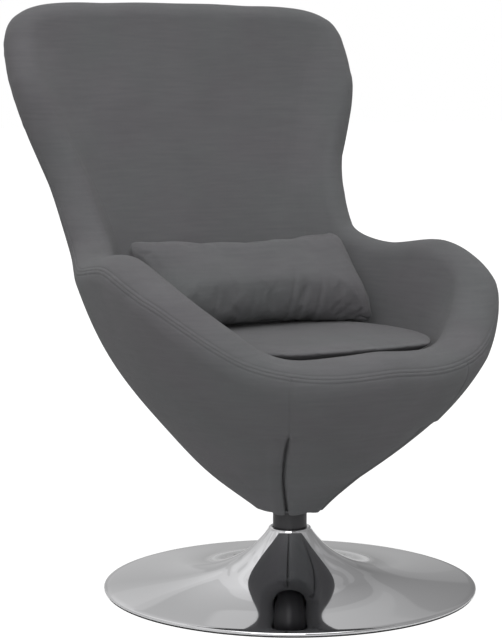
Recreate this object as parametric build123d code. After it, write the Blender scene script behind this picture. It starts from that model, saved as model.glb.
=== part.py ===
from build123d import *
import os
from collections import namedtuple
from math import cos, radians, sin

# Swivel pod chair: a padded one-piece pod on a spun trumpet base. Millimetres, +Z up.
# The origin is on the floor on the swivel axis, and the sitter faces -Y.

# Base
base_r = 330.0            # outside radius of the trumpet's rim
base_wall = 1.5           # spun steel sheet
rim_bead_r = 3.0          # rolled bead round the rim
neck_r = 39.0             # trumpet neck, outside
neck_top = 104.0          # height of the neck's lip
throat_r = 62.0           # the horn part way down
throat_z = 78.0
flare_r = 106.0           # where the horn turns into the dish
flare_z = 48.0
skirt_r = 180.0           # where the dish becomes nearly flat
skirt_z = 25.0
foot_h = 2.5              # rubber foot ring below the rim
foot_w = 14.0             # its width
bottom_plate_t = 2.0      # steel plate across the inside of the rim
flange_r = 62.0           # flange that carries the column
flange_t = 6.0
flange_bolt_circle = 46.0
flange_bolt_d = 8.0
flange_bolts = 4

# Column and swivel
tube_r = 30.0             # column tube, outside
tube_wall = 2.5
tube_top = 198.4          # height of the tube's top edge
spindle_r = 15.0          # turning spindle
bush_clearance = 0.08     # spindle to bush, and bush to tube
bush_len = 28.0
bush_flange_t = 3.0
race_t = 4.0              # each bearing washer
race_r = 29.0             # bearing washers, outside
ball_d = 7.0
ball_count = 12
ball_circle = 22.0        # radius of the ring of balls
ball_clearance = 0.05
groove_depth = 1.2        # how deep the balls sit in each washer
cage_t = 2.4
clip_t = 1.75             # spindle's retaining clip
clip_reach = 5.0
thrust_washer_t = 1.5
end_play = 0.3            # spindle's play along its axis

# Seat mounting
plate_r = 84.0            # round mounting plate
plate_t = 6.0
mount_bolt_circle = 64.0
mount_bolt_d = 8.0
mount_bolts = 4
backing_t = 4.0           # steel ring inside the shell's floor
backing_w = 40.0
post_r = 34.0             # post below the seat board
post_wall = 3.0
spider_reach = 128.0
spider_w = 30.0
spider_t = 4.0
board_r = 150.0           # plywood seat board
board_t = 12.0
board_screw_d = 6.0
board_screws = 4
seat_deck_z = 165.0       # lining's flat floor above the mounting plane
deck_pad_t = 50.0         # padding between seat board and lining

# Pod build-up, from outside to inside
cover_t = 1.5             # upholstery fabric
ease = 0.7                # clearance between neighbouring layers
shell_t = 5.0             # moulded shell
shell_inset = 26.0        # shell's depth below the cover at the belly
shell_floor_r = 90.0      # shell's flat floor
shell_curl = 34.0         # how gently the shell leaves its floor
roll_gap = 1.6            # glue line between the padded roll and what it caps
hem_r = 60.0              # opening of the cover round the column
hem_z = -72.0             # hem below the mounting plane
funnel_angle = 42.0       # slope of the cover where it leaves the hem
hem_cord_r = 2.5
seam_share = 0.20         # place of the rim seam along the padded roll
roll_fullness = 1.25      # height of the roll against half its thickness
deck_hub_r = 60.0         # flat middle of the seat deck
dart_width = 3.0          # open seams in the front of the cover
dart_foot = (37.0, -50.0)
dart_head = (147.0, -235.0)
dart_head_z = 108.0

# Ribs of half the pod, from front centre round to back centre. Heights are above the
# mounting plane. rim: middle of the padded rim. lean: direction in which it points.
# half: half its thickness. angle: bearing at the hem. belly: fullness of the underside.
# reach and flare: how far the curve runs straight at the rim and at the hem.
# foot: where the inside wall meets the seat deck.
Rib = namedtuple("Rib", "rim lean half angle belly reach flare foot")
RIBS = [
    Rib((0, -277, 192), (0, -35, 94), 45, 0, (0, -215, 35), 85, 80, (0, -215)),
    Rib((115, -257, 188), (10, -33, 94), 45, 30, (100, -182, 35), 82, 74, (105, -205)),
    Rib((220, -208, 216), (25, -25, 94), 45, 50, (175, -140, 42), 80, 70, (185, -165)),
    Rib((311, -116, 301), (30, -10, 95), 43, 72, (240, -55, 55), 125, 80, (232, -85)),
    Rib((325, 4, 347), (28, 0, 96), 42, 92, (264, 42, 80), 155, 88, (245, 20)),
    Rib((308, 129, 336), (30, 5, 95), 40, 112, (240, 141, 105), 145, 84, (235, 100)),
    Rib((267, 239, 370), (42, 0, 90), 38, 126, (218, 208, 110), 168, 82, (205, 160)),
    Rib((276, 312, 494), (50, -5, 86), 36, 136, (206, 238, 116), 190, 82, (175, 195)),
    Rib((320, 353, 637), (62, 0, 78), 35, 146, (185, 270, 135), 220, 80, (150, 212)),
    Rib((312, 403, 768), (50, 5, 86), 34, 157, (150, 298, 150), 260, 80, (115, 222)),
    Rib((155, 415, 787), (15, 10, 100), 34, 168, (80, 310, 155), 280, 80, (60, 228)),
    Rib((0, 413, 789), (0, 12, 100), 34, 180, (0, 315, 155), 280, 80, (0, 230)),
]
wall_reach = 0.9          # inside wall's straight run at the rim, against the outside's
wall_rise = 0.30          # where the inside wall leaves the deck
even_reach = 8            # ribs over which the wings are evened out
even_share = 1.5          # how strongly

# Seat cushion: half widths and depths of its outline at its widest
seat_front = 236.0        # front edge ahead of the axis
seat_corner_x = 140.0
seat_front_bow = 12.0
seat_side_x = 219.0
seat_back = 166.0         # back corners behind the axis
seat_back_x = 140.0
seat_back_bow = 8.0
seat_corner_r = 34.0
seat_h = 82.0             # crown above the deck
seat_lift = 5.0           # clearance above the lining
seat_belly = 63.0         # height of its widest outline above its underside
seat_crown = 95.0         # how far its top rounds in
seat_tuck = 84.0          # how far its sloping sides draw in below

# Lumbar pillow
pillow_w = 448.0
pillow_h = 178.0
pillow_t = 100.0
pillow_corner_r = 26.0
pillow_crown = 62.0       # how far its faces round in
pillow_draw = 7.0         # how far its sides are drawn in between the corners
pillow_lean = 44.0        # degrees back from upright
pillow_y = 137.0          # its middle behind the axis
pillow_sink = 2.0         # its lower edge sits below the seat cushion's crown

# Heights that follow from the sizes above
bottom_plate_z = foot_h
flange_z = bottom_plate_z + bottom_plate_t
tube_z = flange_z + flange_t
bush_top = tube_top + bush_flange_t
cage_z = bush_top + race_t - groove_depth + ball_d / 2
upper_race_z = cage_z + ball_d / 2 - groove_depth
plate_z = upper_race_z + race_t
mount_z = plate_z + plate_t
backing_z = mount_z + shell_t
board_z = mount_z + seat_deck_z - cover_t - deck_pad_t - ease - board_t
tube_bore = tube_r - tube_wall
lower_bush_z = tube_z + 30.0
washer_z = lower_bush_z - end_play - thrust_washer_t
clip_z = washer_z - clip_t
spindle_z = clip_z - 4.0

os.makedirs("parts", exist_ok=True)


def save(name, shape):
    export_step(shape, f"parts/{name}.step")
    print(f"{name}: {shape.volume:.0f} mm3")


def disc(radius, z, height, bore=0.0):
    """Plate or ring standing on height z."""
    body = Pos(0, 0, z) * extrude(Circle(radius), height)
    if bore:
        body -= Pos(0, 0, z - 1) * extrude(Circle(bore), height + 2)
    return body


def drilled(body, circle, count, bore, start=0):
    """Body with a ring of upright holes."""
    for spot in PolarLocations(circle, count, start):
        body -= spot * Pos(0, 0, -1000) * extrude(Circle(bore / 2), 3000)
    return body


def ring_of(piece, circle, count, start=0):
    """Copies of a piece round the axis, as one compound."""
    return Compound(children=[spot * piece for spot in PolarLocations(circle, count, start)])


def beside(curve, gap, count=9):
    """Curve that runs a gap to the right of another one, in the XY plane."""
    shares = [i / (count - 1) for i in range(count)]
    points = [curve @ t + Vector((curve % t).Y, -(curve % t).X) * gap for t in shares]
    return Spline(*points, tangents=[curve % 0, curve % 1])


def turned(*outline):
    """Solid turned about Z from an outline of edges in (radius, height)."""
    return revolve(Plane.XZ * make_face(list(outline)), Axis.Z)


# ---------------------------------------------------------------- base


def horn():
    """Outside of the trumpet from its neck to its rim, as (radius, height)."""
    lip = neck_r - tube_r
    return Spline(
        (neck_r, neck_top - lip), (throat_r, throat_z), (flare_r, flare_z),
        (skirt_r, skirt_z), (base_r - rim_bead_r, foot_h + 2 * rim_bead_r),
        tangents=[(0.3, -1), (1, -0.09)],
    )


def base_trumpet():
    outside = horn()
    inside = beside(outside, base_wall)
    throat = tube_r + ease
    lip = neck_r - throat
    crown = RadiusArc((throat, neck_top), outside @ 0, lip * 1.02)
    under = RadiusArc((throat, neck_top - base_wall), inside @ 0, lip * 1.02)
    sheet = turned(
        outside, crown, Line(crown @ 0, under @ 0), under, inside,
        Line(inside @ 1, outside @ 1))
    bead = Pos(0, 0, foot_h + rim_bead_r) * Torus(base_r - rim_bead_r, rim_bead_r)
    return sheet + bead


def hex_bolt(diameter, length, z):
    """Bolt with its head's underside at height z, pointing down."""
    head = extrude(RegularPolygon(diameter * 0.85, 6), diameter * 0.6)
    shank = Pos(0, 0, -length) * extrude(Circle(diameter / 2), length)
    return Pos(0, 0, z) * (head + shank)


def hex_nut(diameter, z):
    """Nut standing on height z, with a bore that clears its bolt."""
    nut = extrude(RegularPolygon(diameter * 0.85, 6) - Circle(diameter / 2), diameter * 0.7)
    return Pos(0, 0, z) * nut


def base_parts():
    save("base_trumpet", base_trumpet())
    inside_r = base_r - 2 * rim_bead_r - ease
    hole = flange_bolt_d + 0.6
    save("foot_ring", disc(base_r - rim_bead_r, 0, foot_h, base_r - rim_bead_r - foot_w))
    plate = disc(inside_r, bottom_plate_z, bottom_plate_t)
    save("bottom_plate", drilled(plate, flange_bolt_circle, flange_bolts, hole))
    flange = disc(flange_r, flange_z, flange_t)
    save("column_flange", drilled(flange, flange_bolt_circle, flange_bolts, hole))
    length = flange_t + bottom_plate_t
    bolt = hex_bolt(flange_bolt_d, length, tube_z)
    save("flange_bolts", ring_of(bolt, flange_bolt_circle, flange_bolts))


# ---------------------------------------------------------------- column and swivel


def bush(z, length, flange=0.0):
    """Plastic bush in the column; its flange sits on the tube's top edge."""
    body = disc(tube_bore - bush_clearance, z, length, spindle_r + bush_clearance)
    if flange:
        body += disc(tube_r, z + length, flange, spindle_r + bush_clearance)
    return body


def race(z, groove_z):
    """Bearing washer with a groove for the balls."""
    washer = disc(race_r, z, race_t, spindle_r + ease)
    return washer - Pos(0, 0, groove_z) * Torus(ball_circle, ball_d / 2 + ball_clearance)


def cage():
    ring = disc(race_r - 1, cage_z - cage_t / 2, cage_t, spindle_r + 1)
    return drilled(ring, ball_circle, ball_count, ball_d + 0.5)


def column_parts():
    save("column_tube", disc(tube_r, tube_z, tube_top - tube_z, tube_bore))
    save("upper_bush", bush(tube_top - bush_len, bush_len, bush_flange_t))
    save("lower_bush", bush(lower_bush_z, bush_len))
    washer = disc(tube_bore - ease, washer_z, thrust_washer_t, spindle_r + bush_clearance)
    save("thrust_washer", washer)
    save("lower_race", race(bush_top, cage_z))
    save("bearing_cage", cage())
    ball = Pos(0, 0, cage_z) * Sphere(ball_d / 2)
    save("bearing_balls", ring_of(ball, ball_circle, ball_count))


def swivel_parts():
    save("upper_race", race(upper_race_z, cage_z))
    clip_groove = clip_reach / 2
    spindle = disc(spindle_r, spindle_z, plate_z - spindle_z)
    spindle -= disc(spindle_r + 1, clip_z, clip_t, spindle_r - clip_groove)
    save("spindle", spindle)
    clip = disc(spindle_r - clip_groove + clip_reach, clip_z, clip_t, spindle_r - clip_groove)
    mouth = Pos(0, -spindle_r, clip_z - 1) * Box(12, 2 * spindle_r, 10)
    save("retaining_clip", clip - mouth)
    hole = mount_bolt_d + 0.6
    plate = drilled(disc(plate_r, plate_z, plate_t), mount_bolt_circle, mount_bolts, hole)
    save("mount_plate", plate)
    ring_in = mount_bolt_circle - backing_w / 2
    ring_out = mount_bolt_circle + backing_w / 2
    backing = disc(ring_out, backing_z, backing_t, ring_in)
    save("backing_ring", drilled(backing, mount_bolt_circle, mount_bolts, hole))
    grip = backing_t + shell_t + plate_t
    bolt = hex_bolt(mount_bolt_d, grip + mount_bolt_d, backing_z + backing_t)
    nut = hex_nut(mount_bolt_d, plate_z - mount_bolt_d * 0.7)
    save("mount_bolts", ring_of(bolt, mount_bolt_circle, mount_bolts))
    save("mount_nuts", ring_of(nut, mount_bolt_circle, mount_bolts))


def seat_support():
    """Post, spider and plywood board that carry the seat inside the shell."""
    spider_z = board_z - spider_t
    save("seat_post", disc(post_r, backing_z, spider_z - backing_z, post_r - post_wall))
    arm = Pos(0, 0, spider_z) * extrude(SlotOverall(2 * spider_reach, spider_w), spider_t)
    spider = Rot(0, 0, 45) * arm + Rot(0, 0, -45) * arm
    screw_circle = spider_reach - spider_w / 2
    hole = board_screw_d + 0.6
    save("seat_spider", drilled(spider, screw_circle, board_screws, hole, 45))
    board = disc(board_r, board_z, board_t)
    save("seat_board", drilled(board, screw_circle, board_screws, hole, 45))
    screw = hex_bolt(board_screw_d, board_t + spider_t, 0)
    head_down = Pos(0, 0, spider_z) * Rot(180, 0, 0) * screw
    save("board_screws", ring_of(head_down, screw_circle, board_screws, 45))


# ---------------------------------------------------------------- pod surface


def unit(vector):
    return vector / vector.length


def measured(rib):
    """Rib of the table with its points as vectors and its bearing as a direction."""
    turn = radians(rib.angle)
    return rib._replace(
        rim=Vector(*rib.rim) + Vector(0, 0, mount_z), lean=unit(Vector(*rib.lean)),
        angle=Vector(sin(turn), -cos(turn), 0),
        belly=Vector(*rib.belly) + Vector(0, 0, mount_z), foot=Vector(*rib.foot, 0))


def flipped(rib):
    """The same rib on the other side of the pod."""
    across = [Vector(-v.X, v.Y, v.Z) if isinstance(v, Vector) else v for v in rib]
    return Rib(*across)


def halfway(a, b, c, d):
    """Rib in the middle of b and c, on a smooth run through all four."""
    return Rib(*[(q + r) * (9 / 16) - (p + s) * (1 / 16) for p, q, r, s in zip(a, b, c, d)])


def finer(loop):
    """Closed loop of ribs with one more between each pair."""
    ribs = []
    for i, rib in enumerate(loop):
        after = loop[(i + 1) % len(loop)]
        ribs += [rib, halfway(loop[i - 1], rib, after, loop[(i + 2) % len(loop)])]
    return ribs


half_loop = [measured(rib) for rib in RIBS]
LOOP = finer(finer(half_loop + [flipped(rib) for rib in half_loop[-2:0:-1]]))
back_rib = len(LOOP) // 2


def rib_at(index):
    return LOOP[index % len(LOOP)]


def rim_frame(index):
    """Outward normal of the rim at a rib, and how far the rib cuts it askew."""
    rib = rib_at(index)
    along = unit(rib_at(index + 1).rim - rib_at(index - 1).rim)
    lean = unit(rib.lean)
    out = unit(along.cross(lean))
    if out.dot(rib.angle) < 0:
        out = -out
    return lean, out, (1 - lean.dot(along) ** 2) ** -0.5


def skew(index):
    """How nearly the rim runs along its lean at a rib, from 0 to 1."""
    return max(0.0, 1 - rim_frame(index)[2] ** -2) ** 0.5


def mean_of(value, index, spread):
    """Weighted mean of a value over the ribs on both sides of one."""
    steps = range(-spread, spread + 1)
    weights = [cos(radians(90 * step / (spread + 1))) ** 2 for step in steps]
    total = value(index) * 0
    for step, weight in zip(steps, weights):
        total = total + value(index + step) * (weight / sum(weights))
    return total


def evened(index, point):
    """A control point, evened out along the pod where the rim climbs steeply."""
    share = min(1.0, even_share * mean_of(skew, index, even_reach // 2))
    return point(index) * (1 - share) + mean_of(point, index, even_reach) * share


def belly_inward(index, before, after):
    """Direction into the pod at the belly, square to the rib and to the hem."""
    away = rib_at(index).angle
    round_axis = Vector(-away.Y, away.X, 0)
    inward = unit((after - before).cross(round_axis))
    return inward if inward.Z > 0 else -inward


def rim_edge(index, inset, drop, side):
    """End of the outer (side 1) or inner (side -1) curve at the rim."""
    rib = rib_at(index)
    lean, out, _ = rim_frame(index)
    return rib.rim + out * (side * (rib.half - inset)) - lean * drop


def outside_curve(index, inset, drop=0.0):
    """Control points of the outer side from the hem to the rim, an inset below the cover."""
    rib = rib_at(index)
    away = unit(rib.angle)
    slope = radians(funnel_angle)
    rise = away * cos(slope) + Vector(0, 0, sin(slope))
    inward = Vector(0, 0, cos(slope)) - away * sin(slope)
    hem = away * hem_r + Vector(0, 0, mount_z + hem_z) + inward * inset
    flare = hem + rise * rib.flare

    def below_rim(i):
        return rim_edge(i, inset, drop, 1) - rim_frame(i)[0] * rib_at(i).reach
    reach = evened(index, below_rim)
    belly = rib.belly + belly_inward(index, flare, reach) * inset
    return [hem, flare, belly, reach, rim_edge(index, inset, drop, 1)]


def roll_curve(index, inset):
    """Control points over the padded rim, from its outer to its inner side."""
    rib = rib_at(index)
    lean, out, askew = rim_frame(index)
    half = rib.half - inset
    crown = lean * (roll_fullness * half * askew)
    outer = rib.rim + out * half
    inner = rib.rim - out * half
    return [outer, outer + crown, inner + crown, inner]


def inside_curve(index, inset, drop=0.0):
    """Control points of the inner side from the deck's middle to the rim."""
    deck = Vector(0, 0, mount_z + seat_deck_z - inset)

    def foot(i):
        return rib_at(i).foot + deck + unit(rib_at(i).angle) * inset

    def rise(i):
        return foot(i) + (rim_edge(i, inset, drop, -1) - foot(i)) * wall_rise

    def below_rim(i):
        reach = rib_at(i).reach * wall_reach
        return rim_edge(i, inset, drop, -1) - rim_frame(i)[0] * reach
    hub = unit(rib_at(index).angle) * deck_hub_r + deck
    base = evened(index, foot)
    return [hub, hub + (base - hub) * 0.8, base, evened(index, rise),
            evened(index, below_rim), rim_edge(index, inset, drop, -1)]


def shell_curve(index, depth):
    """Control points of the moulded shell at a depth below its outer face."""
    rib = rib_at(index)
    away = unit(rib.angle)

    def edge(i):
        lean, out, _ = rim_frame(i)
        return rib_at(i).rim + out * (shell_t / 2 - depth) - lean * roll_gap

    def below_rim(i):
        return edge(i) - rim_frame(i)[0] * rib_at(i).reach
    hub = away * shell_floor_r + Vector(0, 0, mount_z + depth)
    flat = hub + away * shell_curl
    reach = evened(index, below_rim)
    belly = rib.belly + belly_inward(index, flat, reach) * (shell_inset + depth)
    return [hub, flat, belly, reach, edge(index)]


def split(points, share):
    """Both halves of a Bezier curve cut at a share of its run."""
    first, second = [points[0]], [points[-1]]
    while len(points) > 1:
        points = [a + (b - a) * share for a, b in zip(points, points[1:])]
        first.append(points[0])
        second.insert(0, points[-1])
    return first, second


def above(points, height):
    """Part of a rising Bezier curve that lies above a height."""
    low, high = 0.0, 1.0
    for _ in range(30):
        middle = (low + high) / 2
        if split(points, middle)[0][-1].Z < height:
            low = middle
        else:
            high = middle
    return split(points, high)[1]


def section(*curves):
    """Closed wire through curves given as control points, joined by straight edges."""
    edges = []
    for curve, following in zip(curves, curves[1:] + curves[:1]):
        edges.append(Edge.make_bezier(*curve))
        if (curve[-1] - following[0]).length > 0.001:
            edges.append(Edge.make_line(curve[-1], following[0]))
    return Wire(edges)


def pod_body(outline):
    """Solid lofted through the ribs of one side and mirrored; outline makes one section."""
    side = Solid.make_loft([outline(index) for index in range(-2, back_rib + 3)])
    half_space = Pos(1000, 0, 1000) * Box(2000, 4000, 4000)
    side = side & half_space
    return side + mirror(side, Plane.YZ)


def hub_disc(radius, z, height):
    """Round middle that the ribs leave open, a little thinner so that it ends inside them."""
    sink = min(0.2, height / 8)
    return disc(radius + 6, z + sink, height - 2 * sink)


# ---------------------------------------------------------------- pod pieces


def outer_cover():
    def outline(index):
        outer = outside_curve(index, 0)
        over = split(roll_curve(index, 0), seam_share)[0]
        under = split(roll_curve(index, cover_t), seam_share)[0]
        inner = outside_curve(index, cover_t)
        return section(outer, over, under[::-1], inner[::-1])
    return pod_body(outline)


def darts():
    """Open seams that run from the hem up the front of the cover."""
    foot = Vector(dart_foot[0], dart_foot[1], 0)
    head = Vector(dart_head[0], dart_head[1], 0)
    run = head - foot
    turn = Vector(1, 0, 0).get_signed_angle(run, Vector(0, 0, 1))
    tall = dart_head_z - hem_z
    slot = Pos(foot.X, foot.Y, mount_z + dart_head_z - tall) * Rot(0, 0, turn) * Pos(
        run.length / 2, 0, tall / 2) * Box(run.length + 60, dart_width, tall + 40)
    return slot + mirror(slot, Plane.YZ)


def inner_cover():
    start = seam_share + 0.008

    def outline(index):
        over = split(roll_curve(index, 0), start)[1]
        wall = inside_curve(index, 0)[::-1]
        back = inside_curve(index, cover_t)
        under = split(roll_curve(index, cover_t), start)[1]
        return section(over, wall, back, under[::-1])
    return pod_body(outline) + hub_disc(deck_hub_r, mount_z + seat_deck_z - cover_t, cover_t)


def outer_foam():
    def outline(index):
        outer = outside_curve(index, cover_t + ease, roll_gap)
        return section(outer, shell_curve(index, -2 * ease)[::-1])
    recess = disc(plate_r + 4, mount_z - plate_t - 16, plate_t + 16)
    return pod_body(outline) - recess


def shell():
    def outline(index):
        return section(shell_curve(index, 0), shell_curve(index, shell_t)[::-1])
    body = pod_body(outline) + hub_disc(shell_floor_r, mount_z, shell_t)
    return drilled(body, mount_bolt_circle, mount_bolts, mount_bolt_d + 0.6)


def rim_roll():
    return pod_body(lambda index: section(roll_curve(index, cover_t + ease)))


def inner_foam():
    floor = board_z + board_t + ease

    def outline(index):
        inner = inside_curve(index, cover_t + ease, roll_gap)
        back = above(shell_curve(index, shell_t + ease), floor)
        hub = [Vector(inner[0].X, inner[0].Y, floor), inner[0]]
        return section(inner, back[::-1], hub)
    height = mount_z + seat_deck_z - cover_t - ease - floor
    return pod_body(outline) + hub_disc(deck_hub_r, floor, height)


def pod_parts():
    save("shell", shell())
    save("outer_foam", outer_foam())
    save("rim_roll", rim_roll())
    save("inner_foam", inner_foam())
    save("outer_cover", outer_cover() - darts())
    save("inner_cover", inner_cover())
    cord = Torus(hem_r - cover_t - ease - hem_cord_r, hem_cord_r)
    save("hem_cord", Pos(0, 0, mount_z + hem_z) * cord)


# ---------------------------------------------------------------- loose cushions


def bowed(corners, bows, radius):
    """Outline with four bowed sides and round corners, from its lowest Y; bows bulge out."""
    middle = sum((Vector(*c) for c in corners), Vector()) / 4
    sides = []
    for i, bow in enumerate(bows):
        a, b = Vector(*corners[i]), Vector(*corners[(i + 1) % 4])
        out = unit((a + b) / 2 - middle)
        sides.append(ThreePointArc(a, (a + b) / 2 + out * bow, b))
    face = make_face(sides)
    edges = fillet(face.vertices(), radius).face().outer_wire().order_edges()
    first = min(range(len(edges)), key=lambda i: edges[i].center().Y)
    return Wire(edges[first:] + edges[:first])


def rounding(height, depth, steps=3, last=72):
    """Steps (rise, inset) over a rounded half of a cushion, up to nearly its flat top."""
    turns = [radians(last * i / steps) for i in range(steps + 1)]
    return [(height * sin(turn), depth * (1 - cos(turn))) for turn in turns]


def seat_outline(shrink):
    """Seat cushion's outline, drawn in towards its middle."""
    nose = seat_front_bow - seat_front
    corners = [(seat_corner_x, nose), (seat_back_x, seat_back),
               (-seat_back_x, seat_back), (-seat_corner_x, nose)]
    side_bow = seat_side_x - (seat_corner_x + seat_back_x) / 2
    widest = bowed(corners, [side_bow, seat_back_bow, side_bow, seat_front_bow], seat_corner_r)
    middle = Vector(0, (seat_back + seat_back_bow - seat_front) / 2, 0)
    return Pos(middle) * (Pos(-middle) * widest).scale(1 - shrink / seat_side_x)


def seat_form(inset):
    """Seat cushion with a crowned top and drawn-in sides, an inset below its cover."""
    edge = mount_z + seat_deck_z + seat_lift + seat_belly

    def lofted(levels, ruled=False):
        outlines = [Pos(0, 0, edge + z) * seat_outline(inset + draw) for z, draw in levels]
        return Solid.make_loft(outlines, ruled)
    crown = rounding(seat_h - seat_lift - seat_belly - inset, seat_crown - inset)
    return lofted([(inset - seat_belly, seat_tuck), (0, 0)], True) + lofted(crown)


def pillow_outline(shrink):
    x = pillow_w / 2 - shrink
    y = pillow_h / 2 - shrink
    fade = 1 - shrink / pillow_h
    return bowed([(x, -y), (x, y), (-x, y), (-x, -y)], [-pillow_draw * fade] * 4,
                 pillow_corner_r * fade)


def pillow_form(inset):
    """Pillow lying flat, thick in the middle, its edges drawn in between the corners."""
    half = rounding(pillow_t / 2 - inset, pillow_crown - inset)
    levels = [(-z, s) for z, s in half[:0:-1]] + half
    return Solid.make_loft([Pos(0, 0, z) * pillow_outline(inset + s) for z, s in levels])


def pillow_place():
    """Leans the pillow back and sets it just above the seat cushion."""
    turned_up = Pos(0, pillow_y, 0) * Rot(90 - pillow_lean, 0, 0)
    low = (turned_up * pillow_form(0)).bounding_box().min.Z
    return Pos(0, 0, mount_z + seat_deck_z + seat_h - pillow_sink - low) * turned_up


def cushion_parts():
    save("seat_cushion_cover", seat_form(0) - seat_form(cover_t))
    save("seat_cushion_core", seat_form(cover_t + ease))
    place = pillow_place()
    save("pillow_cover", place * (pillow_form(0) - pillow_form(cover_t)))
    save("pillow_filling", place * pillow_form(cover_t + ease))


if __name__ == "__main__":
    base_parts()
    column_parts()
    swivel_parts()
    seat_support()
    pod_parts()
    cushion_parts()
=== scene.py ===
import math

import bpy
import numpy as np
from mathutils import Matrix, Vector, noise


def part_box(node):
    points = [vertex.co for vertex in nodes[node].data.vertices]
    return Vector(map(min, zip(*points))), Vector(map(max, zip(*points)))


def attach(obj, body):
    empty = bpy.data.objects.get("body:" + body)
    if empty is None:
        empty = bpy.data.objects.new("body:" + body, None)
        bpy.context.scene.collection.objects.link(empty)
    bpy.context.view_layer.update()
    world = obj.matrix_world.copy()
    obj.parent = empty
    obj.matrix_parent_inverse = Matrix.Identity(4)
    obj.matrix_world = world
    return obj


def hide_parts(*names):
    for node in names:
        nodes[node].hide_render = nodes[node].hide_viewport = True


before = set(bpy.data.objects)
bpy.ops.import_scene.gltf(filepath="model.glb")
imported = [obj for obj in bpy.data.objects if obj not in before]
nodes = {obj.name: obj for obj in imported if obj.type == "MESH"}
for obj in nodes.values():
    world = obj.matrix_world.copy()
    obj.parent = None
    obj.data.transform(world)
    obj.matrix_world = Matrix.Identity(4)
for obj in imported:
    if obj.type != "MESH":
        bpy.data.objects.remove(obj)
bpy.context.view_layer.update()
print("frame loaded")


# camera, light and floor
studio = {
    "cameraPlace": (-1.8331, -2.9335, 0.9004),
    "lookAzimuth": 59.1419,       # degrees from +X
    "lookDown": 6.9476,
    "lens": 111.71,
    "overheadLamp": ((-0.6, -1.0, 3.4), (0, 0, 0.4), (3.0, 3.0), 44.0),     # place, aim, size, power
    "frontLamp": ((-2.1, -2.6, 1.7), (0, 0, 0.6), (2.0, 2.0), 25.5),
    "skyStrength": 0.50,
    "floorBounce": 0.45,          # how pale the floor is for the light that it throws up
    "floorGlow": 1.72,
}
# what the chrome mirrors: walls shaded by height, patches on them, and a dark opening
mirroredRoom = {
    "wallShades": ((0.0, 0.5), (0.48, 0.50), (0.515, 0.34), (0.56, 0.42), (0.62, 0.36),
                   (0.70, 0.46), (1.0, 0.62)),
    "patchShades": ((0.44, 0.84), (0.455, 0.98), (0.555, 1.0), (0.57, 1.07)),
    "patchScale": 2.6, "patchDistortion": 1.2,
    "sideBearing": 59.0, "sideGain": 2.0, "sideMiddle": 1.16,               # paler to the left
    "darkestSide": 0.72, "palestSide": 1.5,
    "openingBearing": -118.0, "openingReach": 0.496, "openingTop": 0.72,    # degrees, radians, height
    "openingShade": (0.045, 0.043, 0.047),
}


def makeCamera():
    bpy.ops.object.camera_add(location=studio["cameraPlace"])
    camera = bpy.context.object
    turn, down = math.radians(studio["lookAzimuth"]), math.radians(studio["lookDown"])
    look = Vector((math.cos(turn) * math.cos(down), math.sin(turn) * math.cos(down), -math.sin(down)))
    camera.rotation_mode = "QUATERNION"
    camera.rotation_quaternion = look.to_track_quat("-Z", "Y")
    camera.data.lens = studio["lens"]
    camera.data.sensor_width = 36
    camera.data.sensor_fit = "AUTO"
    camera.data.clip_start = 0.05
    bpy.context.scene.camera = camera
    bpy.context.scene.view_settings.view_transform = "Standard"


def addLamp(name, place, aim, size, power):
    bpy.ops.object.light_add(type="AREA", location=place)
    lamp = bpy.context.object
    lamp.name = name
    lamp.data.shape = "RECTANGLE"
    lamp.data.size, lamp.data.size_y = size
    lamp.data.energy = power
    lamp.rotation_mode = "QUATERNION"
    lamp.rotation_quaternion = (Vector(aim) - Vector(place)).to_track_quat("-Z", "Y")


def wire(tree, source, target):
    tree.links.new(source, target)


def addNode(tree, kind, **values):
    # values are node properties, or inputs by name with _ for a space
    node = tree.nodes.new(kind)
    for name, value in values.items():
        label = name.replace("_", " ")
        if label in node.inputs:
            node.inputs[label].default_value = value
        else:
            setattr(node, name, value)
    return node


def maths(tree, operation, a, b=None, c=None, clamp=False):
    node = tree.nodes.new("ShaderNodeMath")
    node.operation = operation
    node.use_clamp = clamp
    for i, value in enumerate((a, b, c)):
        if value is None:
            continue
        if isinstance(value, (int, float)):
            node.inputs[i].default_value = value
        else:
            wire(tree, value, node.inputs[i])
    return node.outputs[0]


def blendColors(tree, share, a, b, mode="MIX"):
    node = tree.nodes.new("ShaderNodeMix")
    node.data_type = "RGBA"
    node.blend_type = mode
    for socket, value in ((node.inputs[0], share), (node.inputs[6], a), (node.inputs[7], b)):
        if isinstance(value, (int, float)):
            socket.default_value = value
        elif isinstance(value, (tuple, list)):
            socket.default_value = (*value[:3], 1)
        else:
            wire(tree, value, socket)
    return node.outputs[2]


def ramp(tree, factor, stops):
    node = tree.nodes.new("ShaderNodeValToRGB")
    band = node.color_ramp
    while len(band.elements) < len(stops):
        band.elements.new(0.5)
    for element, (place, value) in zip(band.elements, stops):
        element.position = place
        element.color = (*value, 1) if isinstance(value, (tuple, list)) else (value, value, value, 1)
    wire(tree, factor, node.inputs[0])
    return node.outputs[0]


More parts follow.
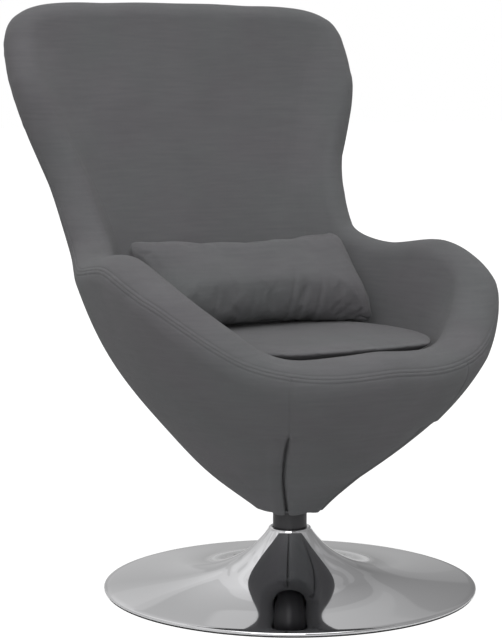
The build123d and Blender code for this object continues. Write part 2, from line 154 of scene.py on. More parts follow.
def makeWorld():
    # white for the camera, a soft sky for light, and the mirrored room for the chrome
    room = mirroredRoom
    world = bpy.data.worlds.new("studioSky")
    bpy.context.scene.world = world
    world.use_nodes = True
    tree = world.node_tree
    tree.nodes.clear()
    output = tree.nodes.new("ShaderNodeOutputWorld")
    paths = tree.nodes.new("ShaderNodeLightPath")
    place = tree.nodes.new("ShaderNodeTexCoord")
    split = tree.nodes.new("ShaderNodeSeparateXYZ")
    wire(tree, place.outputs["Generated"], split.inputs[0])
    height = maths(tree, "MULTIPLY_ADD", split.outputs[2], 0.5, 0.5, clamp=True)
    patches = addNode(tree, "ShaderNodeTexNoise", Scale=room["patchScale"], Detail=1.0,
                      Distortion=room["patchDistortion"])
    wire(tree, place.outputs["Generated"], patches.inputs["Vector"])
    shades = ramp(tree, patches.outputs[0], room["patchShades"])
    walls = blendColors(tree, 1.0, ramp(tree, height, room["wallShades"]), shades, "MULTIPLY")
    bearing = maths(tree, "ARCTAN2", split.outputs[1], split.outputs[0])
    leftward = maths(tree, "SINE", maths(tree, "SUBTRACT", bearing, math.radians(room["sideBearing"])))
    side = maths(tree, "MULTIPLY_ADD", leftward, room["sideGain"], room["sideMiddle"])
    side = maths(tree, "MINIMUM", side, room["palestSide"])
    side = maths(tree, "MAXIMUM", side, room["darkestSide"])
    walls = blendColors(tree, 1.0, walls, side, "MULTIPLY")
    off = maths(tree, "SUBTRACT", bearing, math.radians(room["openingBearing"]))
    near = maths(tree, "LESS_THAN", maths(tree, "ABSOLUTE", off), room["openingReach"])
    low = maths(tree, "LESS_THAN", height, room["openingTop"])
    sheen = blendColors(tree, maths(tree, "MULTIPLY", near, low), walls, room["openingShade"])
    light = addNode(tree, "ShaderNodeBackground", Color=(1, 1, 1, 1), Strength=studio["skyStrength"])
    seen = addNode(tree, "ShaderNodeBackground", Color=(1, 1, 1, 1), Strength=1.0)
    mirrored = addNode(tree, "ShaderNodeBackground", Strength=1.0)
    wire(tree, sheen, mirrored.inputs[0])
    first = tree.nodes.new("ShaderNodeMixShader")
    second = tree.nodes.new("ShaderNodeMixShader")
    glossy = maths(tree, "MAXIMUM", paths.outputs["Is Glossy Ray"], paths.outputs["Is Transmission Ray"])
    wire(tree, glossy, first.inputs[0])
    wire(tree, light.outputs[0], first.inputs[1])
    wire(tree, mirrored.outputs[0], first.inputs[2])
    wire(tree, paths.outputs["Is Camera Ray"], second.inputs[0])
    wire(tree, first.outputs[0], second.inputs[1])
    wire(tree, seen.outputs[0], second.inputs[2])
    wire(tree, second.outputs[0], output.inputs[0])


def makeFloor():
    bpy.ops.mesh.primitive_plane_add(size=60, location=(0, 0, 0))
    floor = bpy.context.object
    floor.name = "floor"
    floorPaint = bpy.data.materials.new("paleFloor")
    floorPaint.use_nodes = True
    tree = floorPaint.node_tree
    shader = tree.nodes["Principled BSDF"]
    shader.inputs["Roughness"].default_value = 0.9
    paths = tree.nodes.new("ShaderNodeLightPath")
    # white to the camera, and darker for the light that it throws back up at the pod
    bounce = (studio["floorBounce"],) * 3
    tone = blendColors(tree, paths.outputs["Is Diffuse Ray"], (0.9, 0.9, 0.9), bounce)
    wire(tree, tone, shader.inputs["Base Color"])
    glow = addNode(tree, "ShaderNodeEmission", Color=(1, 1, 1, 1), Strength=studio["floorGlow"])
    mix = tree.nodes.new("ShaderNodeMixShader")
    share = maths(tree, "MULTIPLY", paths.outputs["Is Camera Ray"], 0.5)
    wire(tree, share, mix.inputs[0])
    wire(tree, shader.outputs[0], mix.inputs[1])
    wire(tree, glow.outputs[0], mix.inputs[2])
    wire(tree, mix.outputs[0], tree.nodes["Material Output"].inputs[0])
    floor.data.materials.append(floorPaint)


makeCamera()
makeWorld()
makeFloor()
for lampName in ("overheadLamp", "frontLamp"):
    addLamp(lampName, *studio[lampName])
print("studio ready")


# effects that more than one material uses, as node groups
def newGroup(name, inputs, outputs):
    group = bpy.data.node_groups.new(name, "ShaderNodeTree")
    for label, kind, value in inputs:
        socket = group.interface.new_socket(label, in_out="INPUT", socket_type=kind)
        socket.default_value = value
    for label, kind in outputs:
        group.interface.new_socket(label, in_out="OUTPUT", socket_type=kind)
    return group, group.nodes.new("NodeGroupInput"), group.nodes.new("NodeGroupOutput")


def around(tree, value, middle, amount, base=1.0, clamp=False):
    # base where the value is at its middle, and more or less on either side
    return maths(tree, "MULTIPLY_ADD", maths(tree, "SUBTRACT", value, middle), amount, base, clamp)


def shaded(tree, color, level):
    # a colour times a plain number
    grey = tree.nodes.new("ShaderNodeCombineColor")
    for i in range(3):
        wire(tree, level, grey.inputs[i])
    return blendColors(tree, 1.0, color, grey.outputs[0], "MULTIPLY")


weaveLook = {
    "strayScale": 55.0, "stray": 0.0016,      # how far the threads leave their line, in metres
    "planeSharpness": 4.0,
    "slubStretch": (16, 16, 210),             # thick places in the weft, long and level
    "cloudScale": 9.0,
    "paintedTintScale": 5.0,
    # painted tints for light and shade: greener as on lit cloth, redder as on shaded cloth
    "paintedLitShadeTints": ((0.35, (0.985, 1.0, 0.995)), (0.65, (1.02, 0.98, 1.005))),     # greener, redder
}


def makeWeaveGroup():
    # plain weave on three planes, joined by how the surface faces
    group, given, out = newGroup(
        "wovenCloth",
        [("Color", "NodeSocketColor", (0.12, 0.12, 0.13, 1)), ("Threads", "NodeSocketFloat", 900.0),
         ("Contrast", "NodeSocketFloat", 0.25), ("Mottle", "NodeSocketFloat", 0.12)],
        [("Color", "NodeSocketColor"), ("Height", "NodeSocketFloat"), ("Roughness", "NodeSocketFloat")])
    place = group.nodes.new("ShaderNodeTexCoord")
    wobble = addNode(group, "ShaderNodeTexNoise", Scale=weaveLook["strayScale"], Detail=2.0)
    wire(group, place.outputs["Object"], wobble.inputs["Vector"])
    strayed = addNode(group, "ShaderNodeVectorMath", operation="MULTIPLY_ADD")
    wire(group, wobble.outputs["Color"], strayed.inputs[0])
    strayed.inputs[1].default_value = (weaveLook["stray"],) * 3
    wire(group, place.outputs["Object"], strayed.inputs[2])
    axes = group.nodes.new("ShaderNodeSeparateXYZ")
    wire(group, strayed.outputs[0], axes.inputs[0])
    facing = group.nodes.new("ShaderNodeSeparateXYZ")
    wire(group, place.outputs["Normal"], facing.inputs[0])
    waves, weights = [], []
    for i in range(3):
        turns = maths(group, "MULTIPLY", axes.outputs[i], given.outputs["Threads"])
        waves.append(maths(group, "SINE", maths(group, "MULTIPLY", turns, math.pi)))
        turned = maths(group, "ABSOLUTE", facing.outputs[i])
        weights.append(maths(group, "POWER", turned, weaveLook["planeSharpness"]))
    shown = []
    for i, (a, b) in enumerate(((1, 2), (0, 2), (0, 1))):
        over = maths(group, "GREATER_THAN", maths(group, "MULTIPLY", waves[a], waves[b]), 0.0)
        under = maths(group, "SUBTRACT", 1.0, over)
        warp = maths(group, "MULTIPLY", over, maths(group, "ABSOLUTE", waves[a]))
        weft = maths(group, "MULTIPLY", under, maths(group, "ABSOLUTE", waves[b]))
        shown.append(maths(group, "MULTIPLY", maths(group, "ADD", warp, weft), weights[i]))
    summed = maths(group, "ADD", maths(group, "ADD", shown[0], shown[1]), shown[2])
    total = maths(group, "ADD", maths(group, "ADD", weights[0], weights[1]), weights[2])
    thread = maths(group, "DIVIDE", summed, total)
    stretch = addNode(group, "ShaderNodeMapping")
    stretch.inputs["Scale"].default_value = weaveLook["slubStretch"]
    wire(group, place.outputs["Object"], stretch.inputs[0])
    slub = addNode(group, "ShaderNodeTexNoise", Scale=1.0, Detail=3.0)
    wire(group, stretch.outputs[0], slub.inputs["Vector"])
    cloud = addNode(group, "ShaderNodeTexNoise", Scale=weaveLook["cloudScale"], Detail=4.0, Roughness=0.6)
    wire(group, place.outputs["Object"], cloud.inputs["Vector"])
    shade = around(group, thread, 0.64, given.outputs["Contrast"])
    streak = around(group, slub.outputs[0], 0.5, given.outputs["Mottle"])
    patch = around(group, cloud.outputs[0], 0.5, given.outputs["Mottle"])
    level = maths(group, "MULTIPLY", shade, maths(group, "MULTIPLY", streak, patch))
    # painted tint for light and shade, a little greener in some places and redder in others, spread at
    # random by noise
    drift = addNode(group, "ShaderNodeTexNoise", Scale=weaveLook["paintedTintScale"], Detail=3.0)
    wire(group, place.outputs["Object"], drift.inputs["Vector"])
    tint = ramp(group, drift.outputs[0], weaveLook["paintedLitShadeTints"])
    paintedTinted = blendColors(group, 1.0, given.outputs["Color"], tint, "MULTIPLY")
    wire(group, shaded(group, paintedTinted, level), out.inputs["Color"])
    wire(group, maths(group, "MULTIPLY_ADD", slub.outputs[0], 0.5, thread), out.inputs["Height"])
    wire(group, maths(group, "MULTIPLY_ADD", thread, -0.12, 0.94), out.inputs["Roughness"])
    return group


def makeGrainGroup():
    # fine speckle and soft clouds for plastic, foam, wood and metal
    group, given, out = newGroup(
        "fineGrain",
        [("Color", "NodeSocketColor", (0.5, 0.5, 0.5, 1)), ("Scale", "NodeSocketFloat", 400.0),
         ("Stretch", "NodeSocketVector", (1, 1, 1)), ("Amount", "NodeSocketFloat", 0.2),
         ("Rough", "NodeSocketFloat", 0.5), ("Spread", "NodeSocketFloat", 0.1)],
        [("Color", "NodeSocketColor"), ("Height", "NodeSocketFloat"), ("Roughness", "NodeSocketFloat")])
    place = group.nodes.new("ShaderNodeTexCoord")
    stretch = addNode(group, "ShaderNodeVectorMath", operation="MULTIPLY")
    wire(group, place.outputs["Object"], stretch.inputs[0])
    wire(group, given.outputs["Stretch"], stretch.inputs[1])
    speckle = addNode(group, "ShaderNodeTexNoise", Detail=4.0)
    wire(group, stretch.outputs[0], speckle.inputs["Vector"])
    wire(group, given.outputs["Scale"], speckle.inputs["Scale"])
    cloud = addNode(group, "ShaderNodeTexNoise", Scale=14.0, Detail=3.0)
    wire(group, place.outputs["Object"], cloud.inputs["Vector"])
    fine = maths(group, "MULTIPLY", speckle.outputs[0], 0.6)
    both = maths(group, "ADD", fine, maths(group, "MULTIPLY", cloud.outputs[0], 0.4))
    level = around(group, both, 0.5, given.outputs["Amount"])
    wire(group, shaded(group, given.outputs["Color"], level), out.inputs["Color"])
    wire(group, speckle.outputs[0], out.inputs["Height"])
    rough = around(group, both, 0.5, given.outputs["Spread"], given.outputs["Rough"], clamp=True)
    wire(group, rough, out.inputs["Roughness"])
    return group


weaveGroup = makeWeaveGroup()
grainGroup = makeGrainGroup()


def startMaterial(name):
    paint = bpy.data.materials.new(name)
    paint.use_nodes = True
    return paint, paint.node_tree, paint.node_tree.nodes["Principled BSDF"]


def placeGroup(tree, group, values):
    node = tree.nodes.new("ShaderNodeGroup")
    node.node_tree = group
    for label, value in values.items():
        node.inputs[label].default_value = value
    return node


def joinBump(tree, shader, height, strength, distance):
    bump = addNode(tree, "ShaderNodeBump", Strength=strength, Distance=distance)
    wire(tree, height, bump.inputs["Height"])
    wire(tree, bump.outputs[0], shader.inputs["Normal"])


def clothMaterial(name, color, threads, contrast, mottle, bump):
    paint, tree, shader = startMaterial(name)
    weave = placeGroup(tree, weaveGroup, {"Color": (*color, 1), "Threads": threads,
                                          "Contrast": contrast, "Mottle": mottle})
    wire(tree, weave.outputs["Color"], shader.inputs["Base Color"])
    wire(tree, weave.outputs["Roughness"], shader.inputs["Roughness"])
    shader.inputs["Sheen Weight"].default_value = 0.12
    shader.inputs["Sheen Roughness"].default_value = 0.6
    shader.inputs["Specular IOR Level"].default_value = 0.2
    joinBump(tree, shader, weave.outputs["Height"], bump, 0.0006)
    return paint


def grainMaterial(name, color, rough, metallic=0.0, scale=400.0, stretch=(1, 1, 1),
                  amount=0.2, spread=0.1, bump=0.1, distance=0.0003):
    paint, tree, shader = startMaterial(name)
    grain = placeGroup(tree, grainGroup, {"Color": (*color, 1), "Scale": scale, "Stretch": stretch,
                                          "Amount": amount, "Rough": rough, "Spread": spread})
    wire(tree, grain.outputs["Color"], shader.inputs["Base Color"])
    wire(tree, grain.outputs["Roughness"], shader.inputs["Roughness"])
    shader.inputs["Metallic"].default_value = metallic
    joinBump(tree, shader, grain.outputs["Height"], bump, distance)
    return paint


finishes = {
    "greyFabric": clothMaterial("greyFabric", (0.130, 0.132, 0.136), threads=900.0,
                                contrast=0.3, mottle=0.24, bump=0.35),
    "greyThread": grainMaterial("greyThread", (0.10, 0.102, 0.106), 0.8, scale=2500.0, bump=0.3),
    "chrome": grainMaterial("chromePlate", (0.80, 0.80, 0.815), 0.035, 1.0, scale=90.0,
                            amount=0.02, spread=0.03, bump=0.015),
    "blackPaint": grainMaterial("blackPowderCoat", (0.035, 0.034, 0.037), 0.38, scale=1400.0,
                                amount=0.3, bump=0.15),
    "steel": grainMaterial("plainSteel", (0.55, 0.56, 0.58), 0.32, 1.0, scale=300.0,
                           stretch=(1, 1, 0.05), amount=0.15, spread=0.2),
    "zinc": grainMaterial("zincPlate", (0.62, 0.63, 0.64), 0.36, 1.0, scale=700.0, spread=0.25),
    "rubber": grainMaterial("blackRubber", (0.03, 0.03, 0.03), 0.72, scale=900.0, amount=0.4, bump=0.3),
    "nylon": grainMaterial("naturalNylon", (0.78, 0.77, 0.72), 0.45, scale=500.0, amount=0.08),
    "glassFibre": grainMaterial("glassFibre", (0.50, 0.46, 0.36), 0.5, scale=260.0, stretch=(1, 0.25, 1),
                                amount=0.5, spread=0.3, bump=0.6, distance=0.001),
    "plywood": grainMaterial("birchPlywood", (0.60, 0.45, 0.28), 0.6, scale=60.0, stretch=(1, 9, 1),
                             amount=0.5, bump=0.3),
    "foam": grainMaterial("mouldedFoam", (0.85, 0.80, 0.62), 0.95, scale=1200.0, amount=0.5, bump=0.8),
}

nodeFinish = {
    "base_trumpet": "chrome", "foot_ring": "rubber", "bottom_plate": "steel", "column_flange": "steel",
    "flange_bolts": "zinc", "column_tube": "blackPaint", "upper_bush": "nylon", "lower_bush": "nylon",
    "lower_race": "steel", "bearing_cage": "nylon", "bearing_balls": "chrome", "upper_race": "steel",
    "thrust_washer": "steel", "spindle": "steel", "retaining_clip": "steel", "mount_plate": "blackPaint",
    "backing_ring": "steel", "mount_bolts": "zinc", "mount_nuts": "zinc", "seat_post": "blackPaint",
    "seat_spider": "blackPaint", "seat_board": "plywood", "board_screws": "zinc", "shell": "glassFibre",
    "outer_foam": "foam", "rim_roll": "foam", "inner_foam": "foam", "outer_cover": "greyFabric",
    "inner_cover": "greyFabric", "hem_cord": "greyThread", "seat_cushion_cover": "greyFabric",
    "seat_cushion_core": "foam", "pillow_cover": "greyFabric", "pillow_filling": "foam",
}
for name, piece in nodes.items():
    piece.data.materials.clear()
    piece.data.materials.append(finishes[nodeFinish[name]])
print("finishes ready")


# the pod's surface, from the same ribs as the solids, in metres
podShape = {
    "mountHeight": 0.220, "hemRadius": 0.060, "hemHeight": -0.072, "hemSlope": 42.0,
    "deckHeight": 0.165, "deckHub": 0.060, "hubShare": 0.8, "fullness": 1.25,
    "wallReach": 0.9, "wallRise": 0.30, "seamShare": 0.20,
    "rearFullness": 0.008, "rearSide": (0.858, 0.513), "rearHeight": 0.215, "rearSpread": 0.060,
    "evenReach": 8, "evenShare": 1.5, "solidRibs": 88,
}
# each rib's rim, lean, half thickness, bearing, belly, reach, flare and foot, in millimetres and degrees
ribTable = [
    ((0, -277, 192), (0, -35, 94), 45, 0, (0, -215, 35), 85, 80, (0, -215)),
    ((115, -257, 188), (10, -33, 94), 45, 30, (100, -182, 35), 82, 74, (105, -205)),
    ((220, -208, 216), (25, -25, 94), 45, 50, (175, -140, 42), 80, 70, (185, -165)),
    ((311, -116, 301), (30, -10, 95), 43, 72, (240, -55, 55), 125, 80, (232, -85)),
    ((325, 4, 347), (28, 0, 96), 42, 92, (264, 42, 80), 155, 88, (245, 20)),
    ((308, 129, 336), (30, 5, 95), 40, 112, (240, 141, 105), 145, 84, (235, 100)),
    ((267, 239, 370), (42, 0, 90), 38, 126, (218, 208, 110), 168, 82, (205, 160)),
    ((276, 312, 494), (50, -5, 86), 36, 136, (206, 238, 116), 190, 82, (175, 195)),
    ((320, 353, 637), (62, 0, 78), 35, 146, (185, 270, 135), 220, 80, (150, 212)),
    ((312, 403, 768), (50, 5, 86), 34, 157, (150, 298, 150), 260, 80, (115, 222)),
    ((155, 415, 787), (15, 10, 100), 34, 168, (80, 310, 155), 280, 80, (60, 228)),
    ((0, 413, 789), (0, 12, 100), 34, 180, (0, 315, 155), 280, 80, (0, 230)),
]


def unit(rows):
    return rows / np.linalg.norm(rows, axis=-1, keepdims=True)


def hump(off, width):
    # 1 at the middle, falling away smoothly on both sides
    return np.exp(-(off / width) ** 2)


def fade(value, width):
    # from 0 to 1 over the width
    return np.clip(value / width, 0, 1)


def finer(loop):
    # one more rib between each pair, on a smooth run through four
    before, after, beyond = (np.roll(loop, n, 0) for n in (1, -1, -2))
    both = np.empty((2 * len(loop), loop.shape[1]))
    both[0::2] = loop
    both[1::2] = (loop + after) * 9 / 16 - (before + beyond) / 16
    return both


def ribLoop(rounds):
    # columns: rim 0-2, lean 3-5, half thickness 6, bearing 7-8, belly 9-11, reach 12, flare 13, foot 14-15
    half = []
    for rim, lean, thick, turn, belly, reach, flare, foot in ribTable:
        angle = math.radians(turn)
        half.append([v / 1000 for v in rim] + list(Vector(lean).normalized())
                    + [thick / 1000, math.sin(angle), -math.cos(angle)] + [v / 1000 for v in belly]
                    + [reach / 1000, flare / 1000] + [v / 1000 for v in foot])
    half = np.array(half)
    half[:, [2, 11]] += podShape["mountHeight"]
    other = half[-2:0:-1].copy()
    other[:, [0, 3, 7, 9, 14]] *= -1          # the same ribs with x turned round
    loop = np.vstack([half, other])
    for _ in range(rounds):
        loop = finer(loop)
    return loop


ribs = ribLoop(5)
ribCount = len(ribs)
rim, lean, halfThick = ribs[:, 0:3], unit(ribs[:, 3:6]), ribs[:, 6:7]
away = unit(np.column_stack([ribs[:, 7:9], np.zeros(ribCount)]))
belly, reach, flare = ribs[:, 9:12], ribs[:, 12:13], ribs[:, 13:14]
foot = np.column_stack([ribs[:, 14:16], np.zeros(ribCount)])
along = unit(np.roll(rim, -1, 0) - np.roll(rim, 1, 0))
out = unit(np.cross(along, lean))
out *= np.sign((out * away).sum(1, keepdims=True))
skew = np.abs((lean * along).sum(1, keepdims=True))
askew = (1 - skew ** 2) ** -0.5


def meanOf(rows, spread):
    # weighted mean over the ribs on both sides
    step, total, weights = ribCount // podShape["solidRibs"], 0, 0
    for j in range(-spread, spread + 1):
        weight = math.cos(math.pi / 2 * j / (spread + 1)) ** 2
        total = total + np.roll(rows, -j * step, 0) * weight
        weights += weight
    return total / weights


evenShare = np.minimum(1, podShape["evenShare"] * meanOf(skew, podShape["evenReach"] // 2))


def evened(rows):
    # control points evened out along the pod where the rim climbs steeply
    return rows * (1 - evenShare) + meanOf(rows, podShape["evenReach"]) * evenShare


def bezier(points, share):
    while len(points) > 1:
        points = [a + (b - a) * share for a, b in zip(points, points[1:])]
    return points[0]


def outsideControls():
    slope = math.radians(podShape["hemSlope"])
    rise = away * math.cos(slope) + np.array([0, 0, math.sin(slope)])
    hem = away * podShape["hemRadius"] + np.array([0, 0, podShape["mountHeight"] + podShape["hemHeight"]])
    edge = rim + out * halfThick
    return [hem, hem + rise * flare, belly, evened(edge - lean * reach), edge]


def rollControls():
    crown = lean * (podShape["fullness"] * halfThick * askew)
    outer, inner = rim + out * halfThick, rim - out * halfThick
    return [outer, outer + crown, inner + crown, inner]


def insideControls():
    deck = np.array([0, 0, podShape["mountHeight"] + podShape["deckHeight"]])
    edge = rim - out * halfThick
    rise = foot + deck + (edge - foot - deck) * podShape["wallRise"]
    base = evened(foot + deck)
    hub = away * podShape["deckHub"] + deck
    return [hub, hub + (base - hub) * podShape["hubShare"], base, evened(rise),
            evened(edge - lean * reach * podShape["wallReach"]), edge]


outsideLine, rollLine, insideLine = outsideControls(), rollControls(), insideControls()


def sheetNormals(rows):
    # outward normals of a grid of rows x ribs
    down = np.gradient(rows, axis=0)
    across = np.roll(rows, -1, 1) - np.roll(rows, 1, 1)
    return unit(np.cross(across, down))


def gridPiece(name, rows):
    # a grid primitive, laid on the ribs and closed round the pod
    bpy.ops.object.select_all(action="DESELECT")
    bpy.ops.mesh.primitive_grid_add(x_subdivisions=ribCount, y_subdivisions=len(rows) - 1, size=1)
    piece = bpy.context.object
    piece.name = name
    closed = np.concatenate([rows, rows[:, :1]], axis=1)
    piece.data.vertices.foreach_set("co", closed.reshape(-1))
    bpy.ops.object.mode_set(mode="EDIT")
    bpy.ops.mesh.select_all(action="SELECT")
    bpy.ops.mesh.remove_doubles(threshold=0.00001)
    bpy.ops.object.mode_set(mode="OBJECT")
    bpy.ops.object.shade_smooth()
    piece.data.materials.append(finishes["greyFabric"])
    return piece


# rim seam and covers
seam = {
    "topstitchOffset": 0.0062,    # from the seam to each row of stitches
    "grooveDepth": 0.0007, "grooveWidth": 0.0016,
    "tuck": 0.0045,               # how far the fabric turns in at the seam
    "plump": 0.0006, "plumpPlace": 0.0032, "plumpWidth": 0.0022,
    "pucker": 0.0006, "puckerReach": 0.012,
    "puckerNoise": ((95.0, 3.0, 1.0), (40.0, 9.0, 0.6)),        # scale, seed and share
}
coverRows = {
    # from, to and number of rows along each curve
    "outside": ((0, 0.9, 40), (0.9, 1, 6)),
    "inside": ((0, 0.6, 30), (0.6, 1, 16)),
    "nearSeam": 0.11,             # share of the roll that has finer rows, on each side of the seam
    # where the rim gives way beside the cushion's front corners, and how far
    "pressed": (((-0.165, -0.243, 0.457), 0.009), ((0.165, -0.243, 0.457), 0.003)),
    "pressedWidth": 0.055,
    # radius and height of the hem in millimetres, gathered round the column below its cord
    "hemGather": ((34, 151), (36, 147.5), (44, 145.6), (53, 145.0), (58, 145.6)),
}


def fromSeam(rows, seamRow):
    # distance over the cloth from the seam
    steps = np.linalg.norm(np.diff(rows, axis=0), axis=2)
    run = np.vstack([np.zeros((1, rows.shape[1])), np.cumsum(steps, axis=0)])
    return np.abs(run - run[seamRow])


def ridgeNoise(rows, scale, seed):
    # smooth noise at each point, from -1 to 1
    values = [noise.noise(Vector(p) * scale + Vector((seed, 0, 0))) for p in rows.reshape(-1, 3)]
    return np.array(values).reshape(rows.shape[:2])


def sewnRows(rows, seamRow):
    # a groove at each row of topstitching, and puckers between them
    run = fromSeam(rows, seamRow)
    groove = seam["grooveDepth"] * hump(run - seam["topstitchOffset"], seam["grooveWidth"])
    plump = seam["plump"] * hump(run - seam["plumpPlace"], seam["plumpWidth"])
    nearSeam = hump(run, seam["puckerReach"])
    rough = np.zeros(run.shape)
    close = nearSeam.max(1) > 0.02
    for scale, seed, share in seam["puckerNoise"]:
        rough[close] += share * ridgeNoise(rows[close], scale, seed)
    push = plump - groove + seam["pucker"] * nearSeam * rough
    return rows + sheetNormals(rows) * push[..., None]


def grooveLine(rows, seamRow, direction):
    # where a groove runs on the sewn rows, with the surface's normals
    run = fromSeam(rows, seamRow)
    order = np.arange(seamRow, -1, -1) if direction < 0 else np.arange(seamRow, len(rows))
    both = np.concatenate([rows, sheetNormals(rows)], axis=2)[order]
    found = [[np.interp(seam["topstitchOffset"], run[order, k], both[:, k, i]) for i in range(6)]
             for k in range(ribCount)]
    found = np.array(found)
    return found[:, :3], unit(found[:, 3:])


def shares(*runs):
    # places along a curve for (from, to, count) runs, without doubles
    values = []
    for start, end, count in runs:
        values += list(np.linspace(start, end, count, endpoint=False))
    return values + [runs[-1][1]]


stitchLines = []      # filled as the covers are made


def outerRows():
    joint = podShape["seamShare"]
    fineFrom = joint - coverRows["nearSeam"]
    rows = [bezier(outsideLine, t) for t in shares(*coverRows["outside"])]
    rows += [bezier(rollLine, t) for t in shares((0.02, fineFrom, 5), (fineFrom, joint, 14))]
    rows = np.array(rows)
    # fuller below the arms towards the back, on both sides
    sideways, backwards = podShape["rearSide"]
    rearward = 0
    for side in (1, -1):
        rearward = rearward + fade(away @ np.array([side * sideways, backwards, 0]) - 0.55, 0.45)
    full = podShape["rearFullness"] * hump(rows[:, :, 2] - podShape["rearHeight"], podShape["rearSpread"])
    rows += sheetNormals(rows) * (full * rearward)[..., None]
    rows = sewnRows(rows, len(rows) - 1)
    stitchLines.append(grooveLine(rows, len(rows) - 1, -1))
    tuckIn = sheetNormals(rows)[-1] * seam["tuck"]
    lip = [rows[-1] - tuckIn * share for share in (0.35, 1.0)]
    hem = [away * radius / 1000 + np.array([0, 0, height / 1000])
           for radius, height in coverRows["hemGather"]]
    return np.vstack([np.array(hem), rows, np.array(lip)])


def innerRows():
    joint = podShape["seamShare"]
    fineTo = joint + coverRows["nearSeam"]
    onRoll = shares((joint, fineTo, 14), (fineTo, 0.97, 16))
    rows = [bezier(rollLine, t) for t in onRoll]
    rows += [bezier(insideLine, 1 - t) for t in shares(*coverRows["inside"])]
    rows = np.array(rows)
    # the rim gives way at the pressed places, and not at the seam
    clear = np.ones((len(rows), 1))
    clear[:len(onRoll), 0] = fade(np.array(onRoll) - 0.24, 0.2)
    for place, depth in coverRows["pressed"]:
        gap = np.linalg.norm(rows - np.array(place), axis=2)
        rows[..., 2] -= depth * hump(gap, coverRows["pressedWidth"]) * clear
    rows = sewnRows(rows, 0)
    stitchLines.append(grooveLine(rows, 0, 1))
    tuckIn = sheetNormals(rows)[0] * seam["tuck"]
    lip = [rows[0] - tuckIn * share for share in (1.0, 0.35)]
    centre = np.array([0, 0, rows[-1][0][2]])
    middle = [centre + (rows[-1] - centre) * share for share in (0.5, 0.02)]
    return np.vstack([np.array(lip), rows, np.array(middle)])


# the two darts beside the front, open below their heads; foot and head are seen from above
dart = {
    "foot": (0.037, -0.050), "head": (0.147, -0.235), "headHeight": 0.328, "opensOver": 0.05,
    "cuts": (-0.012, -0.006, -0.0036, -0.0018, 0.0, 0.0018, 0.0036, 0.006, 0.012),
    "depths": (0.015, 0.009, 0.0024, 0.0009, 0),            # of the slit, from its middle outwards
    "outward": (0.75, -0.66),     # out of the cloth near the darts: along them, and up
    "crease": 0.0012, "creaseWidth": 0.0022,
    "swell": 0.0026, "swellPlace": 0.020, "swellWidth": 0.012,
    "tight": 0.009, "tightWidth": 0.045, "tightTop": 0.317, "tightFoot": 0.150,
    "bow": 0.008, "bowWidth": 0.05, "droop": 0.004, "droopWidth": 0.016,
}


def selectFaces(piece, wanted):
    # wanted: array of booleans, one for each face
    bpy.ops.object.mode_set(mode="EDIT")
    bpy.ops.mesh.select_all(action="DESELECT")
    bpy.ops.object.mode_set(mode="OBJECT")
    mesh = piece.data
    mesh.polygons.foreach_set("select", wanted)
    bpy.ops.object.mode_set(mode="EDIT")
    bpy.ops.mesh.select_mode(type="FACE")


def faceCentres(mesh):
    centres = np.empty(len(mesh.polygons) * 3)
    mesh.polygons.foreach_get("center", centres)
    return centres.reshape(-1, 3)


def points(mesh):
    co = np.empty(len(mesh.vertices) * 3)
    mesh.vertices.foreach_get("co", co)
    return co.reshape(-1, 3)


def vertexNormals(mesh):
    rows = np.empty(len(mesh.vertices) * 3)
    mesh.vertex_normals.foreach_get("vector", rows)
    return rows.reshape(-1, 3)


def cutDart(piece, side):
    low = np.array([side * dart["foot"][0], dart["foot"][1]])
    high = np.array([side * dart["head"][0], dart["head"][1]])
    run = (high - low) / np.linalg.norm(high - low)
    across = np.array([-run[1], run[0]])
    for offset in dart["cuts"]:
        centres = faceCentres(piece.data)[:, :2] - low
        selectFaces(piece, (np.abs(centres @ across - offset) < 0.02) & (centres @ run > -0.02))
        at = low + across * offset
        bpy.ops.mesh.bisect(plane_co=(*at, 0), plane_no=(*across, 0), threshold=0.00005)
        bpy.ops.object.mode_set(mode="OBJECT")
    mesh = piece.data
    co = points(mesh)
    off, front = (co[:, :2] - low) @ across, (co[:, :2] - low) @ run > -0.012
    level, upright = dart["outward"]
    outward = np.array([run[0] * level, run[1] * level, upright])
    rise = fade(dart["headHeight"] - co[:, 2], dart["opensOver"])
    opened = rise * rise * (3 - 2 * rise) * front
    slit = np.interp(np.abs(off), dart["cuts"][4:], dart["depths"]) * opened
    sewn = dart["crease"] * hump(off, dart["creaseWidth"]) * front * (1 - opened)
    swell = dart["swell"] * hump(np.abs(off) - dart["swellPlace"], dart["swellWidth"]) * opened
    tight = fade(dart["tightTop"] - co[:, 2], 0.008) * fade(co[:, 2] - dart["tightFoot"], 0.05)
    swell -= dart["tight"] * tight * hump(off, dart["tightWidth"]) * front
    co -= outward * (slit + sewn - swell)[:, None]
    # the open seam bows sideways, and its corners droop at the hem
    hem = podShape["mountHeight"] + podShape["hemHeight"]
    upward = fade(co[:, 2] - hem, dart["headHeight"] - hem)
    bow = dart["bow"] * np.sin(math.pi * upward) * hump(off, dart["bowWidth"]) * front
    co[:, :2] += np.outer(bow * side, across)
    droop = dart["droop"] * hump(off, dart["droopWidth"]) * front
    droop *= np.clip(1 - (co[:, 2] - hem) / 0.02, 0, 1)
    co[:, 2] -= droop * (np.abs(off) > 0.0008)
    mesh.vertices.foreach_set("co", co.reshape(-1))
    mesh.update()


def makeCovers():
    outer = gridPiece("pod_outer_cover", outerRows())
    for side in (1, -1):
        cutDart(outer, side)
    inner = gridPiece("pod_inner_cover", innerRows())
    outerNodes, innerNodes = ("outer_cover", "outer_foam"), ("inner_cover", "inner_foam", "rim_roll")
    for piece, replaced in ((outer, outerNodes), (inner, innerNodes)):
        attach(piece, "pod")
        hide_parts(*replaced)


makeCovers()
print("pod covers ready")


rimStitches = {"pitch": 0.0052, "length": 0.0040, "radius": 0.00042, "sink": 0.0002, "dip": 0.0005}


